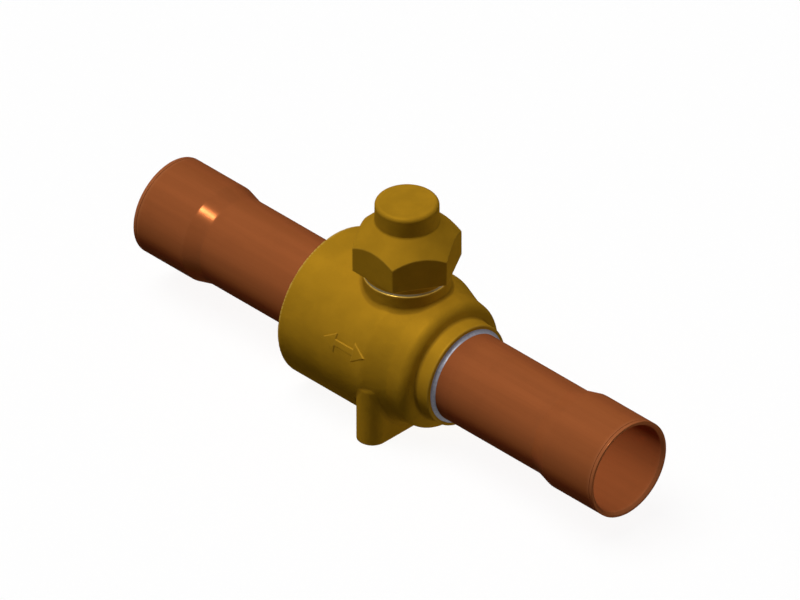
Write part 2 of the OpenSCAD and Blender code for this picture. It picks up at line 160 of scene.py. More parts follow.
class Sheet:
    """The node tree of one material or of the surroundings."""

    def __init__(self, owner: bpy.types.Material | bpy.types.World) -> None:
        """Empties the owner's node tree.

        Args:
            owner: A new material or world.
        """
        self.owner = owner
        owner.use_nodes = True
        self.tree = owner.node_tree
        self.tree.nodes.clear()

    def add(
        self,
        kind: str,
        settings: dict[str, object] | None = None,
        sockets: dict[int | str, object] | None = None,
        out: int | str = 0,
    ) -> Value:
        """Adds one node.

        Args:
            kind: The node's type.
            settings: Its settings, set first.
            sockets: Values or links of its inputs.
            out: The output that is wanted.

        Returns:
            That output, or an empty value for a node without outputs.
        """
        node = self.tree.nodes.new(kind)
        for name, value in (settings or {}).items():
            setattr(node, name, value)
        for name, value in (sockets or {}).items():
            if isinstance(value, Value):
                self.tree.links.new(value.socket, node.inputs[name])
            else:
                node.inputs[name].default_value = value
        return Value(self, node.outputs[out] if len(node.outputs) else None)

    def place(self) -> Value:
        """The point on the piece at rest, in millimetres."""
        point = self.add("ShaderNodeTexCoord", out="Object")
        return self.add("ShaderNodeVectorMath", {"operation": "SCALE"}, {0: point, "Scale": 1 / MM})

    def stretched(self, point: Value, factors: Triple) -> Value:
        """The point with each coordinate multiplied by its own factor."""
        return self.add("ShaderNodeVectorMath", {"operation": "MULTIPLY"}, {0: point, 1: factors})

    def noise(self, point: Value, scale: float, detail: float = 3.0, rough: float = 0.5) -> Value:
        """Adds a noise texture.

        Args:
            point: Where it is read.
            scale: Features to a millimetre.
            detail: Octaves.
            rough: Weight of the finer octaves.

        Returns:
            A value about 0.5.
        """
        sockets = {"Vector": point, "Scale": scale, "Detail": detail, "Roughness": rough}
        return self.add("ShaderNodeTexNoise", {}, sockets, "Fac")

    def mark(self, name: str) -> Value:
        """A value that the mesh carries at its points."""
        return self.add("ShaderNodeAttribute", {"attribute_name": name}, {}, "Fac")

    def blend(self, factor: Value, first: Value | Colour, second: Value | Colour) -> Value:
        """Mixes two colours.

        Args:
            factor: 0 for the first colour and 1 for the second.
            first: A colour or a colour's socket.
            second: Another.

        Returns:
            The mixed colour.
        """
        ends = [end if isinstance(end, Value) else (*end, 1.0) for end in (first, second)]
        return self.add("ShaderNodeMix", {"data_type": "RGBA"}, {0: factor, 6: ends[0], 7: ends[1]}, 2)

    def layered(self, colour: Value, *coats: tuple[Value, Colour]) -> Value:
        """Lays colours over a first one.

        Args:
            colour: The first colour.
            coats: The other colours in order, each behind its mask.

        Returns:
            The colour that shows.
        """
        for mask, coat in coats:
            colour = self.blend(mask, colour, coat)
        return colour

    def turned(self, lathe: Lathe) -> Value:
        """The point seen from its lathe, so that noise read there runs round the piece.

        Args:
            lathe: The axis that the piece turned about.

        Returns:
            A vector of the place along the axis, the radius and a slight change round it.
        """
        point = self.place()
        x, y, z = (self.add("ShaderNodeSeparateXYZ", {}, {0: point}, i) for i in range(3))
        along, a, b = (x, y, z - FLOW_AXIS_Z) if lathe is Lathe.FLOW else (z, x, y)
        radius = (a * a + b * b).root()
        around = (a * 0.7 + b * 0.5) / (radius + 0.01) * 0.12
        return self.add("ShaderNodeCombineXYZ", {}, {0: along, 1: radius, 2: around})

    def bump(self, height: Value, depth: float, below: Value | None = None) -> Value:
        """Adds a bump.

        Args:
            height: The relief, from 0 to 1.
            depth: Its height in millimetres.
            below: The normal that it lies on.

        Returns:
            The new normal.
        """
        sockets: dict[int | str, object] = {"Height": height, "Strength": 1.0, "Distance": depth * MM}
        if below is not None:
            sockets["Normal"] = below
        return self.add("ShaderNodeBump", {}, sockets)

    def shown(self) -> Value:
        """1 for what the camera sees, directly, mirrored or through glass, and 0 for the rest."""
        kinds = ("Is Camera Ray", "Is Glossy Ray", "Is Transmission Ray")
        camera, mirror, glass = (self.add("ShaderNodeLightPath", {}, {}, kind) for kind in kinds)
        return camera.highest(mirror.highest(glass))


# Finishes


@dataclass(frozen=True)
class Finish:
    """What every finish has."""

    name: str
    colour: Colour
    metallic: float = 0.0
    roughness: float = 0.5
    specular: float = 0.5
    tint: Colour = WHITE

    def shade(self, factor: float) -> Colour:
        """The finish's colour, lighter or darker."""
        return tuple(min(1.0, c * factor) for c in self.colour)

    def material(self) -> bpy.types.Material:
        """The finish's material, made once and kept apart from the frame's own."""
        label = f"{self.name}_finish"
        return bpy.data.materials.get(label) or self.paint(Sheet(bpy.data.materials.new(label)))

    def paint(self, sheet: Sheet) -> bpy.types.Material:
        """Fills the sheet and returns its material."""
        raise NotImplementedError

    def coat(
        self, sheet: Sheet, colour: Value, rough: Value, metallic: Value | float, normal: Value
    ) -> bpy.types.Material:
        """Adds the shader and the output.

        Args:
            sheet: The material's sheet.
            colour: The surface's colour.
            rough: Its roughness.
            metallic: How much of a metal it is.
            normal: Its normal.

        Returns:
            The sheet's material.
        """
        sockets = {
            "Base Color": colour, "Roughness": rough, "Metallic": metallic, "Normal": normal,
            "Specular IOR Level": self.specular, "Specular Tint": (*self.tint, 1.0),
        }
        shader = sheet.add("ShaderNodeBsdfPrincipled", {}, sockets)
        sheet.add("ShaderNodeOutputMaterial", {}, {"Surface": shader})
        return sheet.owner


@dataclass(frozen=True)
class ForgedBrass(Finish):
    """Tumbled forging, with edges lightened by wear and painted highlight, valleys darkened by grime and
    painted shade, and cleaner machined faces.
    """

    machined: Colour = (0.52, 0.34, 0.07)
    # Edge colour: wear and painted highlight.
    wear_and_highlight: Colour = (0.50, 0.29, 0.05)
    # Colour in hollows: grime and painted shade.
    grime_and_shade_tone: Colour = (0.20, 0.095, 0.008)
    patch_scale: float = 0.11
    speckle_scale: float = 1.7
    grain_scale: float = 3.1
    grain_depth: float = 0.035
    swell_scale: float = 0.42
    swell_depth: float = 0.09
    line_scale: float = 5.0
    line_depth: float = 0.012

    def paint(self, sheet: Sheet) -> bpy.types.Material:
        """Paints the forged skin and the faces cut into it.

        Args:
            sheet: The material's empty sheet.

        Returns:
            The material.
        """
        point = sheet.place()
        relief, cut = sheet.mark("relief"), sheet.mark("machined")
        patches = sheet.noise(point, self.patch_scale, 4.0, 0.55)
        speckle = sheet.noise(point, self.speckle_scale, 3.0, 0.6)
        # The edge mask lightens edges with wear and painted highlight; the mask below darkens hollows with
        # grime and painted shade.
        edge = (relief * (0.7 + 0.6 * speckle)).ease(0.10, 0.85)
        grime_and_shade = (-relief).ease(0.04, 0.5)
        colour = sheet.layered(
            sheet.blend(patches.ease(0.32, 0.68), self.shade(0.93), self.shade(1.05)),
            (speckle.ease(0.52, 0.8) * 0.22, self.shade(0.8)),
            # Painted shade, with grime, in hollows.
            (grime_and_shade * 0.4, self.grime_and_shade_tone),
            # Painted highlight, with wear, on edges.
            (edge * 0.16, self.wear_and_highlight),
            (cut * 0.8, self.machined),
        )
        rough = self.roughness + 0.09 * (patches - 0.5) + 0.10 * (speckle - 0.5)
        rough = rough - 0.12 * edge - 0.12 * cut + 0.10 * grime_and_shade
        metallic = self.metallic + 0.04 * edge + 0.12 * cut - 0.03 * grime_and_shade
        grain = sheet.noise(point, self.grain_scale, 4.0, 0.65)
        swell = sheet.noise(point, self.swell_scale, 2.0, 0.4)
        lines = sheet.noise(sheet.turned(Lathe.FLOW), self.line_scale, 2.0, 0.5)
        grained = sheet.bump(grain * (1.0 - cut), self.grain_depth)
        forged = sheet.bump(swell, self.swell_depth, grained)
        return self.coat(sheet, colour, rough, metallic, sheet.bump(lines * cut, self.line_depth, forged))


@dataclass(frozen=True)
class TurnedMetal(Finish):
    """Metal from the lathe, with its fine feed marks and small handling scratches."""

    lathe: Lathe = Lathe.SPINDLE
    feed: float = 4.0
    depth: float = 0.012
    # Edge colour: wear and painted highlight; without it, edges and hollows stay plain.
    wear_and_highlight: Colour | None = None
    band_scale: float = 0.7
    film_scale: float = 0.16
    scratch_scale: float = 1.5
    scratch_depth: float = 0.004
    scratch_stretch: Triple = (0.25, 2.6, 2.2)

    def paint(self, sheet: Sheet) -> bpy.types.Material:
        """Paints turned metal and, where the finish has an edge colour, its edges lightened by wear and
        painted highlight and its hollows darkened by grime and painted shade.

        Args:
            sheet: The material's empty sheet.

        Returns:
            The material.
        """
        point, turned = sheet.place(), sheet.turned(self.lathe)
        marks = sheet.noise(turned, self.feed, 2.0, 0.6)
        bands = sheet.noise(turned, self.band_scale, 2.0, 0.5)
        film = sheet.noise(point, self.film_scale, 4.0, 0.55)
        streaks = sheet.stretched(point, self.scratch_stretch)
        scratches = sheet.noise(streaks, self.scratch_scale, 2.0, 0.8).ease(0.66, 0.72)
        coats = [(bands.ease(0.35, 0.7) * 0.25, self.shade(0.86)), (scratches * 0.15, self.shade(1.2))]
        rough = self.roughness + 0.12 * (film - 0.5) + 0.10 * (marks - 0.5)
        metallic = self.metallic + 0.1 * (bands - 0.5)
        if self.wear_and_highlight is not None:
            relief = sheet.mark("relief")
            edge, grime_and_shade = relief.ease(0.15, 1.2), (-relief).ease(0.1, 0.8)
            # Painted shade, with grime, in hollows, and painted highlight, with wear, on edges.
            coats += [(grime_and_shade * 0.4, self.shade(0.6)), (edge * 0.25, self.wear_and_highlight)]
            rough = rough - 0.10 * edge + 0.08 * grime_and_shade
            metallic = metallic + 0.06 * edge
        base = sheet.blend(film.ease(0.3, 0.7), self.shade(0.92), self.shade(1.05))
        normal = sheet.bump(marks, self.depth, sheet.bump(scratches, -self.scratch_depth))
        return self.coat(sheet, sheet.layered(base, *coats), rough, metallic, normal)


@dataclass(frozen=True)
class DrawnCopper(Finish):
    """Drawn copper tube, with draw lines along it and a heat tint by the brazed joint."""

    heated: Colour = (0.20, 0.052, 0.018)
    # Edge colour: wear and painted highlight.
    wear_and_highlight: Colour = (0.52, 0.20, 0.085)
    joint_x: float = 25.3
    heat_reach: float = 9.0
    line_scale: float = 2.2
    line_depth: float = 0.010
    line_stretch: Triple = (0.02, 1.0, 1.0)
    broad_scale: float = 0.22
    broad_stretch: Triple = (0.05, 1.0, 1.0)
    film_scale: float = 0.13
    film_depth: float = 0.03

    def paint(self, sheet: Sheet) -> bpy.types.Material:
        """Paints the tube, its heated end, painted shade in its scribed line and small hollows, and its
        edges lightened by wear and painted highlight.

        Args:
            sheet: The material's empty sheet.

        Returns:
            The material.
        """
        point = sheet.place()
        lines = sheet.noise(sheet.stretched(point, self.line_stretch), self.line_scale, 3.0, 0.6)
        broad = sheet.noise(sheet.stretched(point, self.broad_stretch), self.broad_scale, 2.0, 0.5)
        film = sheet.noise(point, self.film_scale, 4.0, 0.6)
        x = sheet.add("ShaderNodeSeparateXYZ", {}, {0: point}, 0)
        heat = (abs(x) - self.joint_x + 5.0 * (film - 0.5)).ease(self.heat_reach, 0.5)
        relief = sheet.mark("relief")
        # The edge mask lightens edges with wear and painted highlight; the groove mask darkens the scribed
        # line and small hollows with painted shade.
        edge, groove_shade = relief.ease(0.2, 1.0), (-relief).ease(0.1, 0.9)
        colour = sheet.layered(
            sheet.blend(broad.ease(0.3, 0.7), self.shade(0.94), self.shade(1.04)),
            (lines.ease(0.45, 0.75) * 0.3, self.shade(0.84)),
            (film.ease(0.5, 0.78) * 0.22, self.shade(0.78)),
            # Painted shade in the scribed line and small hollows.
            (groove_shade * 0.8, self.shade(0.35)),
            (heat * 0.35, self.heated),
            # Painted highlight, with wear, on edges.
            (edge * 0.15, self.wear_and_highlight),
        )
        rough = self.roughness + 0.12 * (film - 0.45) + 0.10 * (lines - 0.5) + 0.10 * heat
        metallic = self.metallic + 0.04 * edge - 0.03 * heat
        normal = sheet.bump(lines, self.line_depth, sheet.bump(film, self.film_depth))
        return self.coat(sheet, colour, rough, metallic, normal)


@dataclass(frozen=True)
class BrazingSilver(Finish):
    """Silver brazing metal that ran and froze, a little dulled by its flux."""

    fluxed: Colour = (0.12, 0.115, 0.12)
    ripple_scale: float = 0.9
    ripple_depth: float = 0.10
    spot_scale: float = 2.6
    spot_depth: float = 0.02

    def paint(self, sheet: Sheet) -> bpy.types.Material:
        """Paints the frozen metal.

        Args:
            sheet: The material's empty sheet.

        Returns:
            The material.
        """
        point = sheet.place()
        ripple = sheet.noise(point, self.ripple_scale, 3.0, 0.55)
        spots = sheet.noise(point, self.spot_scale, 2.0, 0.6)
        base = sheet.blend(ripple.ease(0.3, 0.72), self.shade(0.85), self.shade(1.12))
        colour = sheet.layered(base, (spots.ease(0.6, 0.74) * 0.45, self.fluxed))
        rough = self.roughness + 0.25 * (spots - 0.5)
        normal = sheet.bump(ripple, self.ripple_depth, sheet.bump(spots, self.spot_depth))
        return self.coat(sheet, colour, rough, self.metallic, normal)


@dataclass(frozen=True)
class SealStuff(Finish):
    """Moulded or turned seal material, plastic or rubber."""

    mottle: float = 0.06
    depth: float = 0.01
    cloud_scale: float = 0.3
    grain_scale: float = 4.0

    def paint(self, sheet: Sheet) -> bpy.types.Material:
        """Paints the seal.

        Args:
            sheet: The material's empty sheet.

        Returns:
            The material.
        """
        point = sheet.place()
        cloud = sheet.noise(point, self.cloud_scale, 3.0)
        grain = sheet.noise(point, self.grain_scale, 2.0)
        colour = sheet.blend(cloud.ease(0.3, 0.7), self.shade(1 - self.mottle), self.shade(1 + self.mottle))
        rough = self.roughness + 0.12 * (cloud - 0.5)
        return self.coat(sheet, colour, rough, self.metallic, sheet.bump(grain, self.depth))


BRASS: Colour = (0.357, 0.185, 0.0098)
BRASS_TINT: Colour = (0.22, 0.11, 0.01)
FORGED_BRASS = ForgedBrass(
    "forged_brass", BRASS, metallic=0.08, roughness=0.55, specular=0.0, tint=BRASS_TINT
)
CAP_BRASS = TurnedMetal(
    "cap_brass", BRASS, metallic=0.08, roughness=0.60, specular=0.0, tint=BRASS_TINT,
    # Edge colour: wear and painted highlight.
    feed=3.4, depth=0.008, wear_and_highlight=(0.50, 0.28, 0.03),
)
TURNED_BRASS = TurnedMetal(
    "turned_brass", (0.42, 0.24, 0.034), metallic=0.5, roughness=0.36, lathe=Lathe.FLOW, feed=3.2
)
COPPER = DrawnCopper(
    "copper", (0.296, 0.084, 0.0250), metallic=0.09, roughness=0.235, specular=0.0,
    tint=(0.16, 0.05, 0.02),
)
BRAZING_METAL = BrazingSilver("brazing_metal", (0.22, 0.22, 0.26), metallic=0.3)
SEAT_PLASTIC = SealStuff("seat_plastic", (0.80, 0.79, 0.74), roughness=0.45, mottle=0.03, depth=0.006)
SEAL_RUBBER = SealStuff("seal_rubber", (0.012, 0.012, 0.013), roughness=0.55, mottle=0.25, depth=0.012)
TURNED_STEEL = TurnedMetal("turned_steel", (0.42, 0.43, 0.45), metallic=0.85, roughness=0.3, depth=0.01)
POLISHED_BALL = TurnedMetal(
    "polished_ball", (0.62, 0.62, 0.64), metallic=0.95, roughness=0.12, lathe=Lathe.FLOW,
    feed=5.0, depth=0.002,
)
GASKET_METAL = TurnedMetal("gasket_metal", (0.30, 0.23, 0.09), metallic=0.1, roughness=0.42, depth=0.006)


# Shapes


def turning(outline: np.ndarray) -> float:
    """Twice the area in a closed outline, negative where it runs clockwise."""
    u, v = outline.T
    return float(np.sum(u * np.roll(v, -1) - np.roll(u, -1) * v))


def rounded(path: Sequence[Triple], steps: int) -> tuple[np.ndarray, np.ndarray]:
    """Rounds the corners of a closed outline.

    Args:
        path: Corners as (u, v, rounding), where 0 leaves a corner sharp.
        steps: Pieces in each arc.

    Returns:
        The points, and for each 1 on a small rounding, below 0 in a small groove and 0 elsewhere.
    """
    points, marks = [], []
    corners = np.array(path, float)[:, :2]
    way = math.copysign(1, turning(corners))
    for i, corner in enumerate(corners):
        radius = path[i][2]
        if radius <= 0:
            points.append(corner)
            marks.append(SHARP_MARK)
            continue
        before, after = corners[i - 1] - corner, corners[(i + 1) % len(corners)] - corner
        before, after = before / np.linalg.norm(before), after / np.linalg.norm(after)
        half = math.acos(float(np.clip(before @ after, -1, 1))) / 2
        bisector = (before + after) / np.linalg.norm(before + after)
        centre = corner + bisector * radius / math.sin(half)
        start = corner + before * radius / math.tan(half) - centre
        side = -1 if before[0] * after[1] - before[1] * after[0] > 0 else 1
        for k in range(steps + 1):
            angle = side * (math.pi - 2 * half) * k / steps
            cos, sin = math.cos(angle), math.sin(angle)
            points.append(centre + [start[0] * cos - start[1] * sin, start[0] * sin + start[1] * cos])
            marks.append(0.0 if radius >= WIDE_ROUNDING else 1.0 if side == way else -1.0)
    return np.array(points), np.array(marks)


def refined(points: np.ndarray, marks: np.ndarray, longest: float) -> tuple[np.ndarray, np.ndarray]:
    """Adds points along the long sides of a closed outline.

    Args:
        points: The outline.
        marks: A value at each point.
        longest: The longest side that stays.

    Returns:
        The finer outline and its values, which are 0 at the new points.
    """
    out, kept = [], []
    for point, following, mark in zip(points, np.roll(points, -1, axis=0), marks):
        pieces = max(1, math.ceil(float(np.linalg.norm(following - point)) / longest))
        out += [point + (following - point) * k / pieces for k in range(pieces)]
        kept += [mark] + [0.0] * (pieces - 1)
    return np.array(out), np.array(kept)


def grid_faces(rows: int, columns: int, ring: bool = False, tube: bool = False) -> np.ndarray:
    """Faces over points that lie in rows.

    Args:
        rows: Rows of points.
        columns: Points in a row.
        ring: Whether the last row joins the first.
        tube: Whether the end of each row joins its start.

    Returns:
        Four point numbers a face, the second in the next row.
    """
    counts = rows - (not ring), columns - (not tube)
    i, j = (index.ravel() for index in np.indices(counts))
    ahead, beside = (i + 1) % rows, (j + 1) % columns
    corners = (i, j), (ahead, j), (ahead, beside), (i, beside)
    return np.stack([row * columns + column for row, column in corners], axis=-1)


def joined(first: np.ndarray, second: np.ndarray, radius: float | np.ndarray) -> np.ndarray:
    """Distance to two solids joined by a rolled blend of that radius."""
    u, v = np.maximum(radius - first, 0), np.maximum(radius - second, 0)
    return np.maximum(radius, np.minimum(first, second)) - np.hypot(u, v)


def common(first: np.ndarray, second: np.ndarray, radius: float) -> np.ndarray:
    """Distance to what two solids share, with its edges rounded."""
    u, v = np.maximum(radius + first, 0), np.maximum(radius + second, 0)
    return np.minimum(-radius, np.maximum(first, second)) + np.hypot(u, v)


def eased(value: np.ndarray, low: float, high: float) -> np.ndarray:
    """Rises smoothly from 0 to 1 between two values."""
    t = np.clip((value - low) / (high - low), 0, 1)
    return t * t * (3 - 2 * t)


@dataclass(frozen=True)
class Bore:
    """A round hole about one of the valve's axes, with its two ends along that axis."""

    axis: Lathe
    radius: float
    low: float
    high: float

    def distance(self, points: Points) -> np.ndarray:
        """Measures to the hole's wall and ends.

        Args:
            points: Places, with z above the flow axis.

        Returns:
            The distances, negative inside the hole.
        """
        x, y, level = points.T
        along, across = (x, np.hypot(y, level)) if self.axis is Lathe.FLOW else (level, np.hypot(x, y))
        return np.maximum(across - self.radius, np.maximum(self.low - along, along - self.high))


@dataclass
class TurnedOutline:
    """Distance to a solid of revolution, read from a table over its section."""

    path: Sequence[Triple]
    arc_steps: int = 14
    cell: float = 0.08
    margin: float = 4.0
    rim: float = 1.001

    def __post_init__(self) -> None:
        """Fills the table."""
        outline, _ = rounded(self.path, self.arc_steps)
        mirrored = np.vstack((outline, outline[::-1] * [1, -1]))
        self.low = np.array([outline[:, 0].min() - self.margin, -self.cell])
        high = outline.max(axis=0) + self.margin
        self.counts = np.ceil((high - self.low) / self.cell).astype(int) + 1
        axes = [self.low[i] + self.cell * np.arange(self.counts[i]) for i in range(2)]
        grid = np.stack(np.meshgrid(*axes, indexing="ij"), axis=-1).reshape(-1, 2)
        nearest = np.full(len(grid), np.inf)
        inside = np.zeros(len(grid), bool)
        for start, end in zip(mirrored, np.roll(mirrored, -1, axis=0)):
            side = end - start
            if side @ side < TINY:
                continue
            offset = grid - start
            t = np.clip(offset @ side / (side @ side), 0, 1)
            gap = offset - t[:, None] * side
            nearest = np.minimum(nearest, np.einsum("ij,ij->i", gap, gap))
            if abs(side[1]) > TINY:
                spans = (start[1] > grid[:, 1]) != (end[1] > grid[:, 1])
                cross = start[0] + (grid[:, 1] - start[1]) * side[0] / side[1]
                inside ^= spans & (grid[:, 0] < cross)
        self.table = (np.where(inside, -1, 1) * np.sqrt(nearest)).reshape(self.counts)

    def __call__(self, along: np.ndarray, radius: np.ndarray) -> np.ndarray:
        """Reads the table between its cells.

        Args:
            along: Places along the axis.
            radius: Their distances from it.

        Returns:
            The distances to the solid, negative inside.
        """
        place = (np.stack((along, radius), axis=-1) - self.low) / self.cell
        place = np.clip(place, 0, self.counts - self.rim)
        i, j = place.astype(int).T
        s, t = (place - np.floor(place)).T
        first = self.table[i, j] * (1 - s) + self.table[i + 1, j] * s
        second = self.table[i, j + 1] * (1 - s) + self.table[i + 1, j + 1] * s
        return first * (1 - t) + second * t


@dataclass
class MeshData:
    """A mesh in millimetres above the mounting face, with what its points carry."""

    vertices: np.ndarray
    faces: np.ndarray
    marks: dict[str, np.ndarray] = field(default_factory=dict)
    normals: np.ndarray | None = None
    crease: float = 32.0


@dataclass
class Contour:
    """Meshes the surface of a distance function, with its edges kept sharp.

    A vertex may roam that share of a step from its cell's centre, and calm holds it to the middle
    of its crossings where their planes are nearly parallel.
    """

    shape: Distance
    step: float
    relief_reach: float
    relief_limit: float = 2.0
    probe: float = 0.04
    searches: int = 4
    guard: float = 0.08
    calm: float = 0.012
    roam: float = 0.6
    inset: float = 0.28

    def mesh(self, low: Sequence[float], high: Sequence[float]) -> MeshData:
        """Contours the shape between two corners.

        Args:
            low: The lowest corner, outside the shape, with z above the flow axis.
            high: The highest corner, outside the shape.

        Returns:
            The mesh with its relief and with normals that keep its edges crisp.
        """
        vertices, faces = self._surface(np.array(low), np.array(high))
        marks = {"relief": self._relief(vertices)}
        normals = self._corner_normals(vertices, faces)
        return MeshData(vertices + [0, 0, FLOW_AXIS_Z], faces, marks, normals)

    def _surface(self, low: np.ndarray, high: np.ndarray) -> tuple[np.ndarray, np.ndarray]:
        """Finds the surface on a grid between two corners.

        Args:
            low: The lowest corner.
            high: The highest corner.

        Returns:
            Vertices, and faces of four vertices each.
        """
        counts = np.ceil((high - low) / self.step).astype(int) + 1
        axes = [low[i] + self.step * np.arange(counts[i]) for i in range(3)]
        y, level = (grid.ravel() for grid in np.meshgrid(axes[1], axes[2], indexing="ij"))
        slices = [self.shape(np.stack((np.full(y.size, x), y, level), axis=-1)) for x in axes[0]]
        values = np.stack(slices).reshape(counts)
        faces, points, normals = [], [], []
        for axis in range(3):
            start, inside, point = self._crossings(values, low, axis)
            corners = self._cells_round(start, axis, counts)
            faces.append(np.where(inside[:, None], corners, corners[:, ::-1]))
            points.append(np.repeat(point, 4, axis=0))
            normals.append(np.repeat(self._gradient(point), 4, axis=0))
        every_face = np.vstack(faces)
        used, where = np.unique(every_face.ravel(), return_inverse=True)
        centres = low + self.step * (np.stack(np.unravel_index(used, counts - 1), axis=-1) + 0.5)
        vertices = self._settle(centres, where, np.vstack(points), np.vstack(normals))
        return vertices, np.searchsorted(used, every_face)

    def _crossings(
        self, values: np.ndarray, low: np.ndarray, axis: int
    ) -> tuple[np.ndarray, np.ndarray, np.ndarray]:
        """Finds where grid lines along one axis pass through the surface.

        Args:
            values: Distances at the grid points.
            low: The grid's lowest corner.
            axis: The lines' axis.

        Returns:
            The lines' starting points, whether each starts inside, and the places.
        """
        ahead = np.moveaxis(values, axis, 0)
        start = np.argwhere(np.moveaxis((ahead[:-1] < 0) != (ahead[1:] < 0), 0, axis))
        unit = np.eye(3, dtype=int)[axis]
        origin = low + self.step * start
        f_near, f_far = values[tuple(start.T)], values[tuple((start + unit).T)]
        inside = f_near <= 0
        near, far = np.zeros(len(start)), np.ones(len(start))
        for _ in range(self.searches):
            t = near + (far - near) * np.clip(f_near / (f_near - f_far), self.guard, 1 - self.guard)
            f = self.shape(origin + self.step * t[:, None] * unit)
            same = (f < 0) == (f_near < 0)
            near, f_near = np.where(same, t, near), np.where(same, f, f_near)
            far, f_far = np.where(same, far, t), np.where(same, f_far, f)
        t = near + (far - near) * f_near / (f_near - f_far)
        return start, inside, origin + self.step * t[:, None] * unit

    @staticmethod
    def _cells_round(start: np.ndarray, axis: int, counts: np.ndarray) -> np.ndarray:
        """Finds the four cells round each grid line.

        Args:
            start: The lines' starting points.
            axis: Their axis.
            counts: The grid's points along each axis.

        Returns:
            Four cell numbers a line, counted anticlockwise about its direction.
        """
        corners = []
        for first, second in ((-1, -1), (0, -1), (0, 0), (-1, 0)):
            cell = start.copy()
            cell[:, (axis + 1) % 3] += first
            cell[:, (axis + 2) % 3] += second
            corners.append(np.ravel_multi_index(tuple(cell.T), tuple(counts - 1)))
        return np.stack(corners, axis=-1)

    def _settle(
        self, centres: np.ndarray, where: np.ndarray, points: np.ndarray, normals: np.ndarray
    ) -> np.ndarray:
        """Puts each cell's vertex where the planes through its crossings meet.

        Args:
            centres: The cells' centres.
            where: The cell of each crossing.
            points: The crossings.
            normals: Their normals.

        Returns:
            One vertex a cell.
        """

        def summed(weights: np.ndarray) -> np.ndarray:
            """Sums a value over each cell's crossings."""
            return np.bincount(where, weights, len(centres))

        offset = points - centres[where]
        number = summed(np.ones(len(where)))
        mean = np.stack([summed(offset[:, i]) for i in range(3)], axis=-1) / number[:, None]
        reach = np.einsum("ij,ij->i", normals, offset - mean[where])
        square = np.empty((len(centres), 3, 3))
        for i, j in np.ndindex(3, 3):
            square[:, i, j] = summed(normals[:, i] * normals[:, j])
        square += self.calm * number[:, None, None] * np.eye(3)
        pull = np.stack([summed(normals[:, i] * reach) for i in range(3)], axis=-1)
        shift = np.linalg.solve(square, pull[..., None])[..., 0]
        limit = self.step * self.roam
        return centres + np.clip(mean + shift, -limit, limit)

    def _gradient(self, points: Points) -> np.ndarray:
        """Takes unit normals from central differences.

        Args:
            points: Where they are wanted.

        Returns:
            One unit vector a point.
        """
        shifts = self.probe * np.eye(3)
        slopes = [self.shape(points + shift) - self.shape(points - shift) for shift in shifts]
        normals = np.stack(slopes, axis=-1)
        return normals / np.maximum(np.linalg.norm(normals, axis=1, keepdims=True), TINY)

    def _corner_normals(self, vertices: np.ndarray, faces: np.ndarray) -> np.ndarray:
        """Reads normals a little inside each face's corners, so that edges stay crisp.

        Args:
            vertices: The mesh's vertices.
            faces: Its faces.

        Returns:
            One unit vector a corner, in the faces' order.
        """
        corners = vertices[faces]
        inner = corners + self.inset * (corners.mean(axis=1, keepdims=True) - corners)
        return self._gradient(inner.reshape(-1, 3))

    def _relief(self, vertices: np.ndarray) -> np.ndarray:
        """Measures how far the surface stands out of its surroundings.

        Args:
            vertices: Places on the surface.

        Returns:
            Above 0 on edges and below 0 in valleys, about 1 on a sharp edge.
        """
        total = -6 * self.shape(vertices)
        for shift in self.relief_reach * np.eye(3):
            total = total + self.shape(vertices - shift)
            total = total + self.shape(vertices + shift)
        return np.clip(total / self.relief_reach, -self.relief_limit, self.relief_limit)


# Pieces


def make_piece(
    name: str, data: MeshData, finish: Finish, body: Body, replaced: Sequence[str] = ()
) -> None:
    """Makes one piece, dresses it and sets it on its body.

    Args:
        name: The piece's name.
        data: Its mesh.
        finish: Its finish, whose name is also the record's material slot.
        body: The body that it rides on.
        replaced: The CAD nodes that it stands for.
    """
    mesh = bpy.data.meshes.new(name)
    mesh.from_pydata((data.vertices * MM).tolist(), [], data.faces.tolist())
    mesh.polygons.foreach_set("use_smooth", np.ones(len(mesh.polygons), bool))
    for mark, values in data.marks.items():
        attribute = mesh.attributes.new(mark, "FLOAT", "POINT")
        attribute.data.foreach_set("value", values.astype(np.float32))
    if data.normals is None:
        mesh.set_sharp_from_angle(angle=math.radians(data.crease))
    else:
        mesh.normals_split_custom_set(data.normals.tolist())
    mesh.materials.append(finish.material())
    mesh.update()
    piece = bpy.data.objects.new(name, mesh)
    bpy.context.scene.collection.objects.link(piece)
    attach(piece, body.value)
    if replaced:
        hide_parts(*replaced)
    LOG.info("%s: %d faces, rides on %s", name, len(mesh.polygons), body.value)


